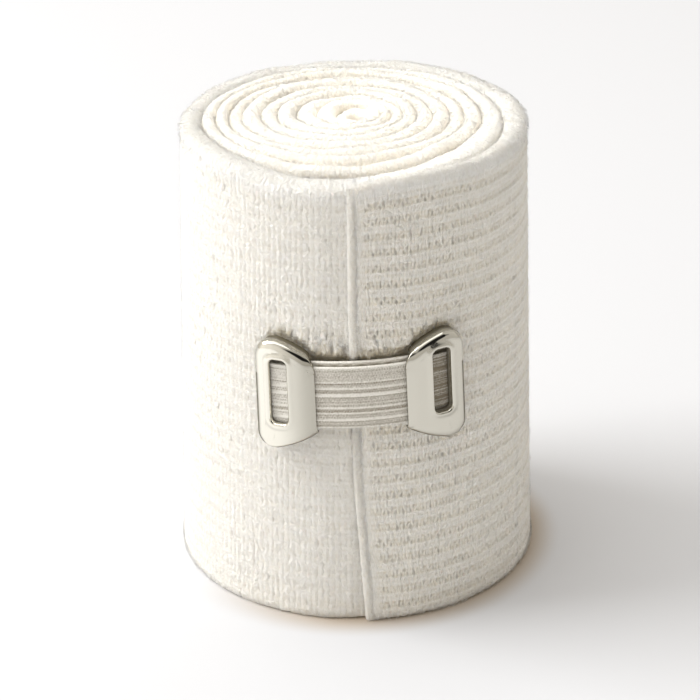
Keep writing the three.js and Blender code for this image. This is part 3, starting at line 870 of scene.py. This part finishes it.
middle_of_edge = np.zeros(2)
cut_meets = 0.3
round_cut = bowed(corner_cut, np.linspace(0, 1, 16, endpoint=False))
upper_half = np.concatenate([straight(middle_of_edge, corner_cut[0], 20), round_cut,
                             bowed(upper_edge, np.linspace(cut_meets, 1, 36)),
                             rest_of_edge(upper_edge[2], 26)])
lower_half = np.concatenate([straight(middle_of_edge, lower_edge[0], 28),
                             bowed(lower_edge, np.linspace(0, 1, 44)), rest_of_edge(lower_edge[2], 26)])
lower_half = lower_half * np.array([1.0, -1.0])
outer_middle = np.array([[plate_length, 0.0]])
outline = np.concatenate([upper_half, outer_middle, lower_half[:0:-1]])
# The open end, where the strap comes out, has no wall.
has_wall = (outline[:, 0] > 0.0010) | (outline[:, 1] < -lower_edge[0, 1] + 1e-6)


def past_start(edge):
    """The edge's own direction carried on past the open end."""
    ahead = edge[1] - edge[0]
    return straight(edge[0] - ahead * 0.9, edge[0], 12)


walled = np.concatenate([
    bowed(corner_cut, np.linspace(0, 1, 40, endpoint=False)),
    bowed(upper_edge, np.linspace(cut_meets, 1, 70)), rest_of_edge(upper_edge[2], 60), outer_middle,
    np.array([1.0, -1.0]) * np.concatenate([
        past_start(lower_edge), bowed(lower_edge, np.linspace(0, 1, 90)), rest_of_edge(lower_edge[2], 60),
        outer_middle]),
])


def drop_at(places):
    """How far the face has dropped at places of the plate, by the nearest point of the walled edge."""
    start, step = walled[:-1], np.diff(walled, axis=0)
    whole = (step ** 2).sum(-1)
    # Only the steps along an edge count, and not those back from the upper edge to the lower.
    usable = (whole > 1e-12) & (whole < 0.002 ** 2)
    start, step, whole = start[usable], step[usable], whole[usable]
    flat = places.reshape(-1, 1, 2)
    share = np.clip(((flat - start) * step).sum(-1) / whole, 0, 1)
    away = np.linalg.norm(start + share[..., None] * step - flat, axis=-1).min(-1)
    left = 1 - np.clip(away / shoulder_width, 0, 1)
    drop = shoulder_drop * (1 - (1 - left ** shoulder_power) ** (1 / shoulder_power))
    # The shoulder runs out on the upper edge, towards the open end.
    open_end = np.where(flat[:, 0, 1] > 0, 0.12 + 0.88 * smooth(flat[:, 0, 0] / 0.0018), 1.0)
    return (drop * open_end).reshape(places.shape[:-1])


sharp_corners = np.array([corner_cut[0], lower_edge[0] * [1, -1]])
rim_insets = np.array((0.0, 0.02, 0.05, 0.10, 0.17, 0.26, 0.37, 0.50, 0.64, 0.79, 0.95, 1.12, 1.30, 1.48,
                       1.66, 1.90)) / 1000
# How much painted shade darkens the metal, and how burnished it is, at those distances in from the edge.
rim_painted_shade = (1.0, 1.0, 1.0, 1.0, 0.96, 0.82, 0.52, 0.22, 0.06) + (0.0,) * 7
rim_polish = (1.0,) * 7 + (0.95, 0.9, 0.8, 0.65, 0.5, 0.35, 0.2, 0.1, 0.0)
# How much further in the painted shade reaches along the outer side, and how far out from the slot
# more of it lies in a ring.
painted_shade_reach = 0.00042
painted_shade_ring = 0.00110
run_out_height = 0.0013
# How many of a plate's rings go up its wall, and how many of the rolled edge's are polished.
outer_rings = 3
collar_polished = 6


def plate_points(side):
    """The plate as rings round its slot: under the wall, up it, over the face, into the slot and back.
    Beside the points, how much painted shade darkens the metal and how highly polished it is at each."""
    edge = np.roll(outline, -1, 0) - np.roll(outline, 1, 0)
    inward = np.stack([edge[:, 1], -edge[:, 0]], axis=1)
    inward = inward / np.linalg.norm(inward, axis=1, keepdims=True)
    slot_centre = np.array([slot_from_inner_edge, slot_rises[side]])
    core = np.array([slot_half_width - slot_corner, slot_half_length - slot_corner])
    nearest = slot_centre + np.clip(outline - slot_centre, -core, core)
    outward = outline - nearest
    outward = outward / np.linalg.norm(outward, axis=1, keepdims=True)

    to_corner = np.linalg.norm(outline[:, None] - sharp_corners[None], axis=2).min(1)
    insets = np.minimum(rim_insets[:, None], 0.9 * to_corner[None] + 0.02 * rim_insets[:, None])
    rim_rings = outline[None] + insets[..., None] * inward[None]
    collar_rings = nearest[None] + (slot_corner + np.array(collar_out[::-1]))[:, None, None] * outward[None]
    shares_in = np.linspace(0, 1, 8)[1:-1][:, None, None]
    face_rings = rim_rings[-1][None] * (1 - shares_in) + collar_rings[0][None] * shares_in
    top = np.concatenate([rim_rings, face_rings, collar_rings])
    away = np.linalg.norm(top - nearest[None], axis=-1) - slot_corner
    inner_fall = inner_falls[side] * (1 - np.clip(top[..., 0] / 0.0030, 0, 1)) ** 2
    top_out = plate_top - drop_at(top) - inner_fall + np.interp(away, collar_out, collar_up)
    # The walls run out towards the open end.
    run_out = run_out_height * (1 - smooth(outline[:, 0] / 0.0016))
    under_face = top_out[0] - plate_metal
    foot = np.where(has_wall, np.minimum(clearance + run_out, under_face), under_face)
    under_edge = outline + np.where(has_wall, plate_wall, 0.00002)[:, None] * inward
    lip = collar_rings[-1] + lip_width * outward
    lip_foot = np.full(len(outline), lip_foots[side])

    places = [under_edge, outline, outline, *top, collar_rings[-1], lip, lip]
    outs = [foot, foot, foot * 0.35 + top_out[0] * 0.65, *top_out, lip_foot, lip_foot,
            plate_top - drop_at(lip) - plate_metal]
    for share in (0.25, 0.5, 0.75, 1.0):
        place = lip * (1 - share) + under_edge * share
        places.append(place)
        outs.append(np.maximum(plate_top - drop_at(place) - plate_metal - inner_falls[side], foot + 0.00001))
    places = np.array(places)
    outs = np.array(outs)
    # Painted shade darkens the walls, the underside and the inside of the slot.
    painted_shade = np.ones(outs.shape)
    painted_shade[outer_rings - 1] = np.where(has_wall, 0.95, 0.3)
    by_place = np.where(has_wall, 1.0, 0.3) * np.where(outline[:, 1] > 0.0035, 0.55, 1.0)
    # The painted shade reaches further in along the outer side.
    reaches = painted_shade_reach * smooth((outline[:, 0] - 0.0082) / 0.0012)
    along_rim = np.interp(rim_insets[:, None] - reaches[None], rim_insets, rim_painted_shade)
    on_rim = slice(outer_rings, outer_rings + len(rim_rings))
    painted_shade[on_rim] = along_rim * by_place[None]
    # More painted shade lies in a ring where the slot's rolled edge rises from the face.
    last_top = outer_rings + len(top)
    beyond = np.abs(away[len(rim_rings):] - painted_shade_ring)
    painted_shade[on_rim.stop:last_top] = 0.26 * np.exp(-(beyond / 0.00022) ** 2)
    # Painted dimmer reflection: the left plate is darkened towards its open end, and the right plate all
    # over.
    towards_open_end = 1 - smooth(top[..., 0] / 0.0070)
    painted_dim_reflection = 0.52 * towards_open_end if side < 0 else np.full(towards_open_end.shape, 0.34)
    painted_shade[outer_rings:last_top] = np.maximum(painted_shade[outer_rings:last_top], painted_dim_reflection)
    # Painted shade along the slot's edge.
    painted_shade[last_top - 1] = 0.55
    polish = np.zeros(outs.shape)
    polish[:outer_rings] = 1.0
    polish[on_rim] = np.array(rim_polish)[:, None]
    polish[last_top - collar_polished:last_top] = 0.7
    from_middle = side * (half_span + places[..., 0])
    upward = places[..., 1]
    along = from_middle * math.cos(clip_tilt) - upward * math.sin(clip_tilt)
    rise = from_middle * math.sin(clip_tilt) + upward * math.cos(clip_tilt)
    return beside_roll(along, rise, outs), {"painted_shade": painted_shade, "polish": polish}


def polished(name, colour, painted_shade_colour):
    """Nickel plate: satin on the face, burnished on the edges, darkened where painted shade is asked for."""
    finish, nodes, links, shader = new_finish(name)
    shader.inputs["Specular IOR Level"].default_value = 0.1
    place = nodes.new("ShaderNodeTexCoord")
    marks = nodes.new("ShaderNodeTexNoise")
    marks.inputs["Scale"].default_value = 900
    marks.inputs["Detail"].default_value = 3.0
    links.new(place.outputs["Object"], marks.inputs["Vector"])
    painted_shade = attribute(nodes, "painted_shade")
    tone = blend_colours(nodes, colour, painted_shade_colour)
    links.new(painted_shade.outputs["Fac"], tone.inputs["Factor"])
    links.new(tone.outputs["Result"], shader.inputs["Base Color"])
    # Where the painted shade is thick, the metal no longer mirrors.
    bare_metal = stretch_values(nodes, 0.5, 1.0, 1.0, 0.0)
    links.new(painted_shade.outputs["Fac"], bare_metal.inputs["Value"])
    links.new(bare_metal.outputs["Result"], shader.inputs["Metallic"])
    satin = stretch_values(nodes, 0.0, 1.0, 0.20, 0.30)
    links.new(marks.outputs["Fac"], satin.inputs["Value"])
    polish = attribute(nodes, "polish")
    gloss = nodes.new("ShaderNodeMix")
    gloss.inputs["B"].default_value = 0.06
    links.new(polish.outputs["Fac"], gloss.inputs["Factor"])
    links.new(satin.outputs["Result"], gloss.inputs["A"])
    links.new(gloss.outputs["Result"], shader.inputs["Roughness"])
    add_bump(nodes, links, marks.outputs["Fac"], shader, 0.00001, 0.25)
    return finish


nickel = polished("polished nickel", (0.955, 0.925, 0.825), (0.10, 0.084, 0.052))
for name, side in (("plate_left", -1), ("plate_right", 1)):
    points, shade_and_polish = plate_points(side)
    ring_count, around = points.shape[:2]
    faces = tube_faces(ring_count, around, closed=True)
    if side < 0:
        faces = faces[:, ::-1]
    plate = add_piece(name + "_metal", points, faces, nickel)
    for kind, point_shares in shade_and_polish.items():
        mark(plate, kind, point_shares)
    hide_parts(name)

# ------------------------------------------------------------------------------------------------
# The table. A plain pale sheet, matt, that the roll stands on. Close round the roll, in front and on the
# right, a darker, warm contact shadow is painted on it, tinted as the cream cloth throws its colour.
# ------------------------------------------------------------------------------------------------
table_half = 3.0
table_mesh = bpy.data.meshes.new("table")
table_mesh.from_pydata([(-table_half, -table_half, 0), (table_half, -table_half, 0),
                        (table_half, table_half, 0), (-table_half, table_half, 0)], [], [(0, 1, 2, 3)])
table = bpy.data.objects.new("table", table_mesh)
table_white, nodes, links, shader = new_finish("table white")
shader.inputs["Roughness"].default_value = 0.9
on_table = nodes.new("ShaderNodeTexCoord")
from_axis = nodes.new("ShaderNodeVectorMath")
from_axis.operation = "DISTANCE"
from_axis.inputs[1].default_value = (axis_x, axis_y, 0.0)
near_roll = stretch_values(nodes, 0.0290, 0.0350, 1.0, 0.0)
near_roll.interpolation_type = "SMOOTHSTEP"
to_front = nodes.new("ShaderNodeVectorMath")
to_front.operation = "DOT_PRODUCT"
to_front.inputs[1].default_value = (0.70, -0.71, 0.0)
in_front = stretch_values(nodes, -0.008, 0.018)
contact_shadow_share = nodes.new("ShaderNodeMath")
contact_shadow_share.operation = "MULTIPLY"
painted_contact_shadow = blend_colours(nodes, (0.69, 0.69, 0.705), (0.49, 0.41, 0.325))
links.new(on_table.outputs["Object"], from_axis.inputs[0])
links.new(from_axis.outputs["Value"], near_roll.inputs["Value"])
links.new(on_table.outputs["Object"], to_front.inputs[0])
links.new(to_front.outputs["Value"], in_front.inputs["Value"])
links.new(near_roll.outputs["Result"], contact_shadow_share.inputs[0])
links.new(in_front.outputs["Result"], contact_shadow_share.inputs[1])
links.new(contact_shadow_share.outputs["Value"], painted_contact_shadow.inputs["Factor"])
links.new(painted_contact_shadow.outputs["Result"], shader.inputs["Base Color"])
table_mesh.materials.append(table_white)
scene.collection.objects.link(table)

# ------------------------------------------------------------------------------------------------
# The studio. Pale walls, a little brighter on the left and behind, one large soft lamp high on the
# left, a softer one overhead, and a camera with a long lens that looks down on the roll.
# ------------------------------------------------------------------------------------------------
world = bpy.data.worlds.new("studio")
world.use_nodes = True
sky, wires = world.node_tree.nodes, world.node_tree.links
backdrop = sky["Background"]
backdrop.inputs["Color"].default_value = (1.0, 0.965, 0.905, 1)
heading = sky.new("ShaderNodeTexCoord")
parts = sky.new("ShaderNodeSeparateXYZ")
wires.new(heading.outputs["Generated"], parts.inputs["Vector"])
left_to_right = stretch_values(sky, -1.0, 1.0, 1.01, 0.645)
wires.new(parts.outputs["X"], left_to_right.inputs["Value"])
front_to_back = stretch_values(sky, -1.0, 1.0, 0.77, 1.22)
wires.new(parts.outputs["Y"], front_to_back.inputs["Value"])
walls = sky.new("ShaderNodeMath")
walls.operation = "MULTIPLY"
wires.new(left_to_right.outputs["Result"], walls.inputs[0])
wires.new(front_to_back.outputs["Result"], walls.inputs[1])
# The unlit end of the studio, high in front on the right, which the bright metal mirrors.
dark_middle = (0.22, -0.60, 0.62)
dark_half = (0.55, 0.45, 0.28)
to_dark = sky.new("ShaderNodeMapping")
to_dark.inputs["Location"].default_value = [-at / half for at, half in zip(dark_middle, dark_half)]
to_dark.inputs["Scale"].default_value = [1 / half for half in dark_half]
wires.new(heading.outputs["Generated"], to_dark.inputs["Vector"])
from_dark = sky.new("ShaderNodeVectorMath")
from_dark.operation = "LENGTH"
wires.new(to_dark.outputs["Vector"], from_dark.inputs[0])
unlit = stretch_values(sky, 0.80, 1.08, 0.03, 1.0)
wires.new(from_dark.outputs["Value"], unlit.inputs["Value"])
both = sky.new("ShaderNodeMath")
both.operation = "MULTIPLY"
wires.new(walls.outputs["Value"], both.inputs[0])
wires.new(unlit.outputs["Result"], both.inputs[1])
wires.new(both.outputs["Value"], backdrop.inputs["Strength"])
scene.world = world


def aim(thing, place, target):
    """Puts a lamp at a place and turns it to its target."""
    thing.location = place
    thing.rotation_euler = (Vector(target) - Vector(place)).to_track_quat("-Z", "Y").to_euler()


def soft_lamp(name, size, watts, place):
    light = bpy.data.lights.new(name, "AREA")
    light.size = size
    light.energy = watts
    light.color = (0.97, 0.985, 1.0)
    lamp = bpy.data.objects.new(name, light)
    scene.collection.objects.link(lamp)
    aim(lamp, place, (0, 0, 0.04))


key_azimuth = math.radians(-95)
key_height = math.radians(43)
key_distance = 1.1
soft_lamp("key", 0.6, 9.7, (key_distance * math.sin(key_azimuth) * math.cos(key_height),
                            -key_distance * math.cos(key_azimuth) * math.cos(key_height),
                            key_distance * math.sin(key_height) + 0.03))
soft_lamp("softbox", 0.8, 3.3, (-0.25, -0.02, 1.16))

camera_data = bpy.data.cameras.new("camera")
camera_data.lens = 124.9
camera_data.sensor_width = 36
camera = bpy.data.objects.new("camera", camera_data)
scene.collection.objects.link(camera)
view_distance = 0.4
view_height = math.radians(25.27)
view_roll = math.radians(-0.99)
stand = Vector((axis_x, axis_y - view_distance * math.cos(view_height),
                cloth_width / 2 + view_distance * math.sin(view_height)))
look_at = Vector((axis_x - 0.00068, axis_y - 0.00138, 0.03457))
camera.location = stand
turned = (look_at - stand).to_track_quat("-Z", "Y").to_matrix()
camera.rotation_euler = (turned @ Matrix.Rotation(view_roll, 3, "Z")).to_euler()
scene.camera = camera
scene.view_settings.view_transform = "Standard"
